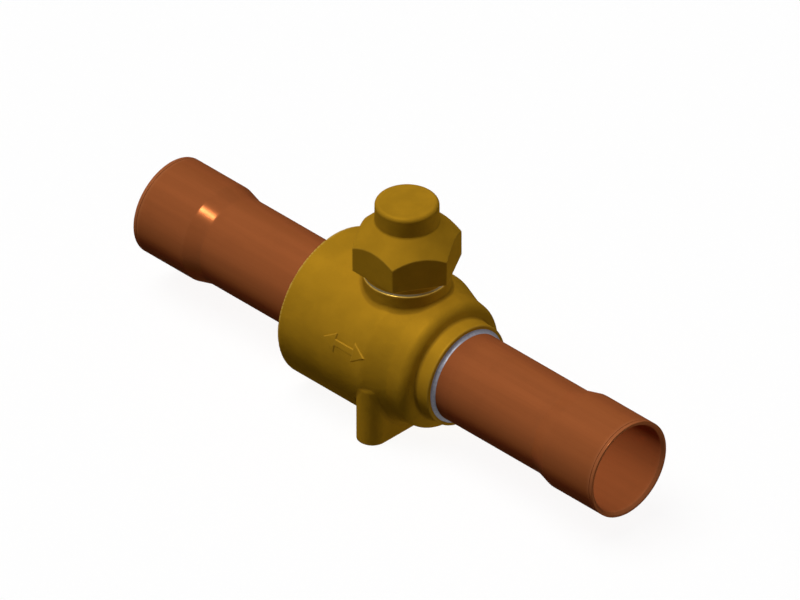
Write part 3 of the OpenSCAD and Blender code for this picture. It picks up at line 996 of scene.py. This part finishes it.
@dataclass
class ScrewThread:
    """The helical ridge of a right-hand thread on the spindle axis."""

    root: float
    crest: float
    low: float
    high: float
    pitch: float = 1.5
    flank: float = 30.0
    crest_width: float = 0.22
    bevel: float = 0.06
    buried: float = 0.06
    phase: float = 0.0
    steps: int = 120
    fade: float = 0.3

    def mesh(self) -> MeshData:
        """Sweeps the ridge's section along its helix.

        Returns:
            The mesh, closed at both ends, where the ridge sinks into its root.
        """
        outward = 1 if self.crest > self.root else -1
        depth, bevel = abs(self.crest - self.root), self.bevel / 2
        foot_width = self.crest_width + 2 * depth * math.tan(math.radians(self.flank))
        crest, foot = self.crest_width / 2, foot_width / 2
        first = self.low + foot
        turns = (self.high - self.low - foot_width) / self.pitch
        count = int(turns * self.steps)
        turn = np.linspace(0, turns, count + 1)
        height = eased(turn, 0, self.fade) * eased(turns - turn, 0, self.fade)
        angle = 2 * math.pi * (turn + first / self.pitch + self.phase)
        # The third value is the relief mark, which gives the crests the finish's wear and painted
        # highlight.
        half = [
            (-foot, -self.buried, 0.0), (-foot, 0.0, 0.0), (-crest - bevel, depth - self.bevel, 0.9),
            (-crest + bevel, depth, 1.0),
        ]
        section = (half + [(-across, rise, mark) for across, rise, mark in half[::-1]])[::outward]
        size = len(section)
        vertices = np.empty((count + 1, size, 3))
        for k, (across, rise, _) in enumerate(section):
            lift = rise if rise < 0 else rise * height - self.buried * (1 - height)
            radius = self.root + outward * lift
            z = first + self.pitch * turn + across + FLOW_AXIS_Z
            vertices[:, k] = np.stack((radius * np.cos(angle), radius * np.sin(angle), z), axis=-1)
        fans = np.array([[0, k, k + 1, k + 2] for k in range(1, size - 2, 2)])
        sides = grid_faces(count + 1, size, tube=True)
        faces = np.vstack((sides, fans, fans[:, ::-1] + count * size))
        relief = np.tile([mark for _, _, mark in section], count + 1)
        return MeshData(vertices.reshape(-1, 3), faces, {"relief": relief}, crease=25.0)


@dataclass
class ForgedBody:
    """The forged housing with its bores, its bonnet thread and its flow mark.

    The shoulder's corners are (x, radius, rounding). A bore that opens to the outside runs 2 mm
    past the metal.
    """

    barrel_r: float = 24.3
    barrel_back: float = 30.5
    barrel_front: float = 4.1
    barrel_round: float = 8.0
    back_edge: float = 0.25
    shoulder: tuple[Triple, ...] = ((12.5, 21.4, 7.0), (18.75, 20.55, 3.9), (20.2, 16.65, 1.1))
    collar_x: float = 25.3
    collar_r: float = 16.5
    collar_edge: float = 0.6
    boss_r: float = 13.35
    boss_foot: float = 5.0
    boss_top: float = 25.6
    boss_blend: float = 0.95
    boss_edge: float = 0.45
    neck_r: float = 10.0799
    neck_foot: float = 20.0
    neck_top: float = 38.0
    neck_edge: float = 0.5
    thread_r: float = 11.0
    thread_span: tuple[float, float] = (27.1, 35.4)
    foot_x: float = 4.5
    foot_w: float = 9.6
    foot_reach: float = 24.0
    foot_top: float = -2.0
    foot_dome: float = 2.2
    foot_blend: tuple[float, float] = (0.3, 1.0)
    foot_turn: float = 0.2
    underside_edge: float = 0.35
    hole_pitch: float = 38.0
    hole_r: float = 2.1
    hole_depth: float = 9.0
    drill_tip: float = 59.0
    plug_bore: Bore = Bore(Lathe.FLOW, 20.05, -32.5, -20.0)
    ball_bore: Bore = Bore(Lathe.FLOW, 19.0, -21.0, 9.5)
    seat_bore: Bore = Bore(Lathe.FLOW, 16.95, 8.5, 14.6)
    flow_bore: Bore = Bore(Lathe.FLOW, 12.8, 13.6, 18.1)
    tube_bore: Bore = Bore(Lathe.FLOW, 14.35, 17.1, 27.3)
    washer_bore: Bore = Bore(Lathe.SPINDLE, 8.3, 14.0, 23.5)
    spindle_bore: Bore = Bore(Lathe.SPINDLE, 6.05, 22.5, 40.0)
    stop_bore: Bore = Bore(Lathe.SPINDLE, 7.4, 35.5, 40.0)
    stop_notch: Bore = Bore(Lathe.SPINDLE, 9.0, 35.5, 40.0)
    notch_side: float = 2.1
    ring_groove: Bore = Bore(Lathe.FLOW, 16.2, 13.6, 15.9)
    groove_floor_r: float = 14.2
    bore_edge: float = 0.12
    overlap: float = 0.5
    face_depth: float = 0.1
    bonnet_depth: float = 0.16
    cut_fade: tuple[float, float] = (0.08, 0.3)
    margin_low: Triple = (1.03, 1.07, 0.93)
    margin_high: Triple = (1.1, 1.1, 1.2)
    step: float = 0.5
    relief_reach: float = 0.5

    def __post_init__(self) -> None:
        """Makes the forging's turned outline."""
        self.outline = TurnedOutline(
            [
                (-self.barrel_back, 0, 0), (-self.barrel_back, self.barrel_r, self.back_edge),
                (self.barrel_front, self.barrel_r, self.barrel_round), *self.shoulder,
                (self.collar_x, self.collar_r, self.collar_edge), (self.collar_x, 0, 0),
            ]
        )

    def forging(self, points: Points) -> np.ndarray:
        """Measures to the outside of the forging, before any machining.

        Args:
            points: Places, with z above the flow axis.

        Returns:
            The distances.
        """
        x, y, level = points.T
        turned = self.outline(x, np.hypot(y, level))
        boss = np.maximum(np.hypot(x, y) - self.boss_r, self.boss_foot - level)
        body = joined(turned, boss, self.boss_blend)
        body = common(body, level - self.boss_top, self.boss_edge)
        half = self.foot_w / 2
        reach = np.maximum(np.abs(y) - (self.foot_reach - half), 0)
        foot = common(np.hypot(x - self.foot_x, reach) - half, level - self.foot_top, self.foot_dome)
        low, high = self.foot_blend
        blend = low + (high - low) * eased(x - self.foot_x, self.foot_turn * half, half)
        body = common(joined(body, foot, blend), -FLOW_AXIS_Z - level, self.underside_edge)
        neck = common(np.hypot(x, y) - self.neck_r, level - self.neck_top, self.neck_edge)
        return np.minimum(body, np.maximum(neck, self.neck_foot - level))

    def cuts(self, points: Points) -> np.ndarray:
        """Measures to everything that is cut out of the forging.

        Args:
            points: Places, with z above the flow axis.

        Returns:
            The distances, negative where metal is cut away.
        """
        x, y, level = points.T
        bores = (
            self.plug_bore, self.ball_bore, self.seat_bore, self.flow_bore, self.tube_bore,
            self.washer_bore, self.spindle_bore, self.stop_bore,
        )
        cuts = [bore.distance(points) for bore in bores]
        cuts.append(np.maximum(self.ring_groove.distance(points), self.groove_floor_r - np.hypot(y, level)))
        arm_x = np.maximum(np.abs(x) - self.notch_side, -y)
        arm_y = np.maximum(np.abs(y) - self.notch_side, -x)
        wedge = np.minimum(np.minimum(arm_x, arm_y), np.maximum(-x, -y))
        cuts.append(np.maximum(wedge, self.stop_notch.distance(points)))
        hole = np.hypot(x - self.foot_x, np.abs(y) - self.hole_pitch / 2) - self.hole_r
        end = level + FLOW_AXIS_Z - self.hole_depth
        cuts.append(np.maximum(hole, end))
        tip = math.radians(self.drill_tip)
        cuts.append(np.maximum(end * math.sin(tip) + hole * math.cos(tip), -self.overlap - end))
        return np.minimum.reduce(cuts)

    def shape(self, points: Points) -> np.ndarray:
        """Distance to the finished body."""
        return common(self.forging(points), -self.cuts(points), self.bore_edge)

    def build(self) -> None:
        """Builds the body, its thread and its flow mark."""
        low = -np.array([self.barrel_back, self.barrel_r, FLOW_AXIS_Z]) - self.margin_low
        high = np.array([self.collar_x, self.barrel_r, self.neck_top]) + self.margin_high
        data = Contour(self.shape, self.step, self.relief_reach).mesh(low, high)
        data.marks["machined"] = self._machined(data.vertices - [0, 0, FLOW_AXIS_Z])
        make_piece("forged_body", data, FORGED_BRASS, Body.HOUSING, ["valve_body"])
        ridge = ScrewThread(self.neck_r, self.thread_r, *self.thread_span)
        make_piece("bonnet_thread", ridge.mesh(), CAP_BRASS, Body.HOUSING)
        make_piece("flow_mark", FlowMark(self.barrel_r).mesh(), FORGED_BRASS, Body.HOUSING)

    def _machined(self, points: Points) -> np.ndarray:
        """Tells the cut faces from the forged skin.

        Args:
            points: Places on the surface, with z above the flow axis.

        Returns:
            1 in the bores and on every face that was turned or milled, and 0 on the skin.
        """
        x, y, level = points.T
        milled = level < self.face_depth - FLOW_AXIS_Z
        back = x < self.face_depth - self.barrel_back
        bonnet = level > self.boss_top - self.bonnet_depth
        bonnet &= np.hypot(x, y) < self.boss_r + self.face_depth
        bored = eased(np.abs(self.forging(points)), *self.cut_fade)
        return np.where(milled | back | bonnet, 1.0, bored)


@dataclass
class FlowMark:
    """A plain double-headed arrow in low relief on the barrel, for flow either way."""

    barrel_r: float
    middle_x: float = -3.6
    tilt: float = 18.0
    length: float = 17.0
    head: float = 4.8
    head_w: float = 6.2
    shaft_w: float = 2.1
    rise: float = 0.42
    slope: float = 0.35
    sunk: float = 0.06
    hidden: float = -0.055
    margin: float = 0.8
    overlap: float = 0.2
    edge_band: tuple[float, float] = (-0.3, 0.05)
    edge_mark: float = 0.55
    foot_band: tuple[float, float] = (-0.1, 0.25)
    foot_mark: float = 0.3
    cell: float = 0.1

    def mesh(self) -> MeshData:
        """Bends a fine sheet with the arrow's relief round the barrel.

        Returns:
            The mesh, whose margins lie just inside the barrel.
        """
        spans = self.length / 2 + self.margin, self.head_w / 2 + self.margin
        lines = [np.arange(-span, span + self.cell / 2, self.cell) for span in spans]
        u, v = np.meshgrid(*lines, indexing="ij")
        gap = self._outline(np.abs(u), np.abs(v))
        lift = self.rise * eased(-gap, -self.slope * 0.5, self.slope * 0.5) - self.sunk
        radius = self.barrel_r + lift
        angle = math.radians(180 - self.tilt) - v / self.barrel_r
        y, z = radius * np.cos(angle), radius * np.sin(angle) + FLOW_AXIS_Z
        vertices = np.stack((u + self.middle_x, y, z), axis=-1).reshape(-1, 3)
        faces = grid_faces(*u.shape)
        shown = lift.reshape(-1)[faces].max(axis=1) > self.hidden
        # The relief marks give the arrow's edges the finish's wear and painted highlight, and its foot the
        # finish's grime and painted shade.
        low, high = self.edge_band
        edge = np.where((gap > low) & (gap < high), self.edge_mark, 0.0)
        relief = edge - self.foot_mark * eased(gap, *self.foot_band)
        marks = {"relief": relief.reshape(-1), "machined": np.zeros(relief.size)}
        return MeshData(vertices, faces[shown], marks, crease=60.0)

    def _outline(self, u: np.ndarray, v: np.ndarray) -> np.ndarray:
        """Measures to the arrow's outline on the flat.

        Args:
            u: Distances from its middle along it.
            v: Distances from its middle across it.

        Returns:
            The distances, negative on the arrow.
        """
        neck = self.length / 2 - self.head
        shaft = np.maximum(v - self.shaft_w / 2, u - (neck + self.overlap))
        rise = self.head_w / 2 / self.head
        flank = (v - (self.length / 2 - u) * rise) / math.hypot(1, rise)
        return np.minimum(shaft, np.maximum(flank, neck - u))


@dataclass
class LineTube:
    """A copper tube end with its swaged solder socket, and the brazing at its foot."""

    side: Side
    stop: float
    face: float
    tube_r: float = 14.3
    wall: float = 1.5
    length: float = 77.0
    socket_depth: float = 20.8
    socket_bore_r: float = 14.35
    swage: float = 6.0
    bend: float = 3.2
    band: float = 1.2
    line_w: float = 0.26
    line_depth: float = 0.15
    line_edge: float = 0.04
    line_floor: float = 0.05
    edge: float = 0.15
    chamfer: float = 0.75
    chamfer_edge: float = 0.03
    fillet: float = 1.05
    fullness: float = 0.97
    clearance: float = 0.02
    arc_steps: int = 6
    longest: float = 1.5
    tube_segments: int = 240
    ring_segments: int = 180
    ring_degrees: int = 9
    lobes: tuple[Triple, ...] = ((0.09, 5, 1), (0.06, 11, 0), (0.04, 23, 0))

    def build(self) -> None:
        """Builds the tube and its brazed joint."""
        label = self.side.name.lower()
        outline, marks = refined(*rounded(self._section(), self.arc_steps), self.longest)
        tube = self._turned(outline, marks, self.tube_segments)
        make_piece(f"{label}_copper_tube", tube, COPPER, Body.HOUSING, [f"{label}_tube"])
        ring = self._brazing()
        braze = self._turned(ring, np.zeros(len(ring)), self.ring_segments, self._waver)
        make_piece(f"{label}_brazing", braze, BRAZING_METAL, Body.HOUSING, [f"{label}_braze_fillet"])

    def _section(self) -> list[Triple]:
        """Lays out the wall of the tube.

        Returns:
            Corners as (x, radius, rounding), with the scribed line near the mouth.
        """
        mouth = self.stop + self.length
        cone = mouth - self.socket_depth
        straight = cone - self.swage
        line = mouth - self.band
        bore_r, socket_r = self.tube_r - self.wall, self.socket_bore_r + self.wall
        return [
            (self.stop, bore_r, 0), (self.stop, self.tube_r, 0),
            (straight, self.tube_r, self.bend + self.wall), (cone, socket_r, self.bend),
            (line - self.line_w / 2, socket_r, self.line_edge),
            (line, socket_r - self.line_depth, self.line_floor),
            (line + self.line_w / 2, socket_r, self.line_edge), (mouth, socket_r, self.edge),
            (mouth, self.socket_bore_r + self.chamfer, self.chamfer_edge),
            (mouth - self.chamfer, self.socket_bore_r, self.chamfer_edge),
            (cone, self.socket_bore_r, self.bend + self.wall), (straight, bore_r, self.bend),
        ]

    def _brazing(self) -> np.ndarray:
        """Lays out the hollow ring of brazing metal between tube and face.

        Returns:
            Its outline as (x, radius).
        """
        inner, outer = self.tube_r + self.clearance, self.tube_r + self.fillet
        end, hollow = self.face + self.fillet, self.fillet * self.fullness
        arc = [math.radians(a) for a in range(0, 91, self.ring_degrees)]
        curve = [(end - hollow * math.cos(a), outer - hollow * math.sin(a)) for a in arc]
        return np.array([(self.face, inner), (self.face, outer + self.clearance), *curve, (end, inner)])

    def _waver(self, x: np.ndarray, angle: np.ndarray) -> np.ndarray:
        """The small lobes of metal that ran, which fade towards the tube and the face."""
        lobes = sum(height * np.sin(count * angle + turn) for height, count, turn in self.lobes)
        return lobes * np.sin(np.clip((x - self.face) / self.fillet, 0, 1) * math.pi)

    def _turned(
        self,
        outline: np.ndarray,
        marks: np.ndarray,
        segments: int,
        waver: Callable[[np.ndarray, np.ndarray], np.ndarray] | None = None,
    ) -> MeshData:
        """Turns a closed outline about the flow axis, on this tube's side.

        Args:
            outline: The outline's points as (x, radius).
            marks: The relief mark at each.
            segments: Pieces round the axis.
            waver: What is added to the radius, from places along the axis and angles.

        Returns:
            The mesh.
        """
        if turning(outline) > 0:
            outline, marks = outline[::-1], marks[::-1]
        angle = np.arange(segments)[:, None] * 2 * math.pi / segments
        x, radius = (np.repeat(line[None], segments, axis=0) for line in outline.T)
        if waver is not None:
            radius = radius + waver(x, angle)
        y, z = radius * np.cos(angle), radius * np.sin(angle) + FLOW_AXIS_Z
        vertices = np.stack((self.side.value * x, y, z), axis=-1).reshape(-1, 3)
        faces = grid_faces(segments, len(outline), ring=True, tube=True)[:, [0, 3, 2, 1]]
        if self.side is Side.INLET:
            faces = faces[:, ::-1]
        return MeshData(vertices, faces, {"relief": np.tile(marks, segments)})


@dataclass
class SealCap:
    """The seal cap with its skirt, hexagon, cone and knob, and its inner thread."""

    base: float = 26.4
    skirt_r: float = 13.3
    skirt_edge: float = 0.25
    hex_base: float = 29.05
    across_flats: float = 29.5
    corner: float = 0.7
    cone: float = 45.3
    knob_r: float = 9.79
    knob_foot: float = 44.65
    knob_fillet: float = 0.25
    knob_round: float = 1.4
    knob_root: float = 40.0
    top: float = 51.5
    edge: float = 0.22
    bore_edge: float = 0.15
    thread_bore: Bore = Bore(Lathe.SPINDLE, 11.05, 20.0, 35.9)
    clear_bore: Bore = Bore(Lathe.SPINDLE, 10.55, 30.0, 41.0)
    spindle_bore: Bore = Bore(Lathe.SPINDLE, 7.2, 38.0, 48.7)
    thread_crest: float = 10.22
    thread_start: float = 27.0
    thread_end: float = 35.6
    grid_margin: float = 0.6
    grid_below: float = 0.73
    grid_above: float = 0.8
    step: float = 0.3
    relief_reach: float = 0.4

    def hexagon(self, x: np.ndarray, y: np.ndarray) -> np.ndarray:
        """Measures to the rounded hexagon in plan.

        Args:
            x: Places along the flow axis.
            y: Places across it.

        Returns:
            The distances.
        """
        inner = self.across_flats / 2 - self.corner
        a, b = np.abs(y), np.abs(x)
        slant_x, slant_y = -math.sqrt(3) / 2, 0.5
        fold = 2 * np.minimum(slant_x * b + slant_y * a, 0)
        b, a = b - fold * slant_x, a - fold * slant_y - inner
        b = b - np.clip(b, -inner / math.sqrt(3), inner / math.sqrt(3))
        return np.hypot(a, b) * np.sign(a) - self.corner

    def shape(self, points: Points) -> np.ndarray:
        """Measures to the cap.

        Args:
            points: Places, with z above the flow axis.

        Returns:
            The distances.
        """
        x, y, level = points.T
        across = np.hypot(x, y)
        slope = math.radians(self.cone)
        cone = (level - self.knob_foot) * math.cos(slope) + (across - self.knob_r) * math.sin(slope)
        nut = common(self.hexagon(x, y), cone, self.edge)
        nut = common(nut, self.hex_base - level, self.edge)
        nut = np.maximum(nut, level - self.knob_foot)
        skirt = common(across - self.skirt_r, self.base - level, self.skirt_edge)
        skirt = np.maximum(skirt, level - self.hex_base - 1)
        knob = common(across - self.knob_r, level - self.top, self.knob_round)
        knob = np.maximum(knob, self.knob_root - level)
        body = joined(np.minimum(nut, skirt), knob, self.knob_fillet)
        bores = (self.thread_bore, self.clear_bore, self.spindle_bore)
        hollow = np.minimum.reduce([bore.distance(points) for bore in bores])
        return common(body, -hollow, self.bore_edge)

    def build(self) -> None:
        """Builds the cap and its inner thread."""
        reach = self.across_flats / math.sqrt(3) + self.grid_margin
        low = (-reach, -reach, self.base - self.grid_below)
        high = (reach, reach, self.top + self.grid_above)
        data = Contour(self.shape, self.step, self.relief_reach).mesh(low, high)
        make_piece("hexagon_cap", data, CAP_BRASS, Body.CAP, ["seal_cap"])
        span = self.thread_start, self.thread_end
        ridge = ScrewThread(self.thread_bore.radius, self.thread_crest, *span, phase=0.5)
        make_piece("cap_thread", ridge.mesh(), CAP_BRASS, Body.CAP)


@dataclass
class PlainParts:
    """The CAD solids that keep their own shape and only get a finish."""

    nodes: dict[str, bpy.types.Object]
    finishes: tuple[tuple[Finish, tuple[str, ...]], ...] = (
        (TURNED_BRASS, ("end_plug",)),
        (SEAL_RUBBER, ("end_plug_o_ring", "inlet_seat_o_ring", "outlet_seat_o_ring")),
        (SEAL_RUBBER, ("stem_o_ring_lower", "stem_o_ring_upper")),
        (SEAT_PLASTIC, ("inlet_seat", "outlet_seat", "thrust_washer")),
        (TURNED_STEEL, ("stem", "stop_plate", "retaining_ring")),
        (POLISHED_BALL, ("ball",)),
        (GASKET_METAL, ("cap_gasket",)),
    )

    def dress(self) -> None:
        """Gives each solid its finish."""
        for finish, names in self.finishes:
            for name in names:
                for slot in self.nodes[name].material_slots:
                    slot.material = finish.material()
                LOG.info("%s: %s", name, finish.name)


class Sheen(Enum):
    """Whether a lamp gives highlights."""

    WITHOUT = "without"
    ONLY = "only"


@dataclass(frozen=True)
class Lamp:
    """A far lamp, its direction, its strength, its width in degrees and whether it casts shadows."""

    name: str
    direction: Triple
    strength: float
    width: float
    sheen: Sheen
    shadow: bool


@dataclass
class Studio:
    """The camera, the lamps, the plain surroundings and the floor."""

    view: Triple = (0.57735, -0.57735, 0.57735)
    right: Triple = (0.70711, 0.70711, 0.0)
    up: Triple = (-0.40825, 0.40825, 0.81650)
    pixels_a_mm: float = 3.336
    picture_width: int = 800
    aside: float = -2.098
    above: float = 12.41
    distance: float = 600.0
    clip: tuple[float, float] = (10.0, 20000.0)
    floor_size: float = 6000.0
    floor_cells: int = 12
    floor_drop: float = 0.02
    floor_glow: float = 0.65
    floor_bounce: float = 0.10
    ambient: float = 0.016
    lamps: tuple[Lamp, ...] = (
        Lamp("key_lamp", (-0.20, -0.265, 0.944), 2.60, 12.0, Sheen.WITHOUT, False),
        Lamp("soft_lamp", (-0.21, -0.254, 0.944), 0.60, 44.0, Sheen.WITHOUT, True),
        Lamp("low_lamp", (0.47, 0.53, -0.705), 1.2, 20.0, Sheen.WITHOUT, False),
        Lamp("glint_lamp", (-0.12, -0.357, 0.926), 4.4, 7.0, Sheen.ONLY, False),
    )

    def build(self) -> None:
        """Builds the studio round the valve."""
        self._camera()
        for lamp in self.lamps:
            self._hang(lamp)
        self._surroundings()
        self._floor()

    def _camera(self) -> None:
        """Sets the parallel camera at the photograph's angle and scale."""
        camera = bpy.data.cameras.new("camera")
        camera.type = "ORTHO"
        camera.ortho_scale = self.picture_width / self.pixels_a_mm * MM
        camera.clip_start, camera.clip_end = (end * MM for end in self.clip)
        right, up, back = Vector(self.right), Vector(self.up), Vector(self.view)
        centre = Vector((0, 0, FLOW_AXIS_Z)) + self.aside * right + self.above * up
        rotation = Matrix((right, up, back)).transposed().to_4x4()
        eye = bpy.data.objects.new("camera", camera)
        eye.matrix_world = Matrix.Translation((centre + self.distance * back) * MM) @ rotation
        bpy.context.scene.collection.objects.link(eye)
        bpy.context.scene.camera = eye

    def _hang(self, lamp: Lamp) -> None:
        """Hangs one lamp, far away.

        Args:
            lamp: The lamp.
        """
        sun = bpy.data.lights.new(lamp.name, "SUN")
        sun.energy = lamp.strength
        sun.angle = math.radians(lamp.width)
        sun.use_shadow = lamp.shadow
        holder = bpy.data.objects.new(lamp.name, sun)
        holder.rotation_euler = Vector(lamp.direction).to_track_quat("Z", "Y").to_euler()
        holder.location = Vector(lamp.direction)
        holder.visible_glossy = lamp.sheen is Sheen.ONLY
        holder.visible_diffuse = lamp.sheen is Sheen.WITHOUT
        bpy.context.scene.collection.objects.link(holder)

    def _surroundings(self) -> None:
        """Sets white where the camera sees past the valve, and a dim even light elsewhere."""
        world = bpy.data.worlds.new("surroundings")
        sheet = Sheet(world)
        colour = sheet.blend(sheet.shown(), (self.ambient,) * 3, WHITE)
        light = sheet.add("ShaderNodeBackground", {}, {"Color": colour, "Strength": 1.0})
        sheet.add("ShaderNodeOutputWorld", {}, {"Surface": light})
        bpy.context.scene.world = world

    def _floor(self) -> None:
        """Lays a plain white floor that keeps the valve's shadow."""
        count = self.floor_cells + 1
        line = np.linspace(-self.floor_size / 2, self.floor_size / 2, count)
        x, y = np.meshgrid(line, line, indexing="ij")
        vertices = np.stack((x.ravel(), y.ravel(), np.full(x.size, -self.floor_drop)), axis=-1)
        mesh = bpy.data.meshes.new("floor")
        mesh.from_pydata((vertices * MM).tolist(), [], grid_faces(count, count).tolist())
        sheet = Sheet(bpy.data.materials.new("floor"))
        white = (*WHITE, 1.0)
        dark = (*(self.floor_bounce,) * 3, 1.0)
        paper = sheet.add("ShaderNodeBsdfDiffuse", {}, {"Color": white})
        bounce = sheet.add("ShaderNodeBsdfDiffuse", {}, {"Color": dark})
        glow = sheet.add("ShaderNodeEmission", {}, {"Color": white, "Strength": 1.0})
        bright = sheet.add("ShaderNodeMixShader", {}, {0: self.floor_glow, 1: paper, 2: glow})
        surface = sheet.add("ShaderNodeMixShader", {}, {0: sheet.shown(), 1: bounce, 2: bright})
        sheet.add("ShaderNodeOutputMaterial", {}, {"Surface": surface})
        sheet.owner.cycles.emission_sampling = "NONE"
        mesh.materials.append(sheet.owner)
        floor = bpy.data.objects.new("floor", mesh)
        bpy.context.scene.collection.objects.link(floor)


def main() -> None:
    """Builds the valve and its studio."""
    logging.basicConfig(level=logging.INFO, format="%(name)s %(message)s")
    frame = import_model()
    bpy.context.scene.view_settings.view_transform = "Standard"
    Studio().build()
    ForgedBody().build()
    LineTube(Side.INLET, stop=23.207, face=31.4).build()
    LineTube(Side.OUTLET, stop=17.107, face=25.3).build()
    SealCap().build()
    PlainParts(frame["nodes"]).dress()
    bpy.context.view_layer.update()


if __name__ == "__main__":
    main()
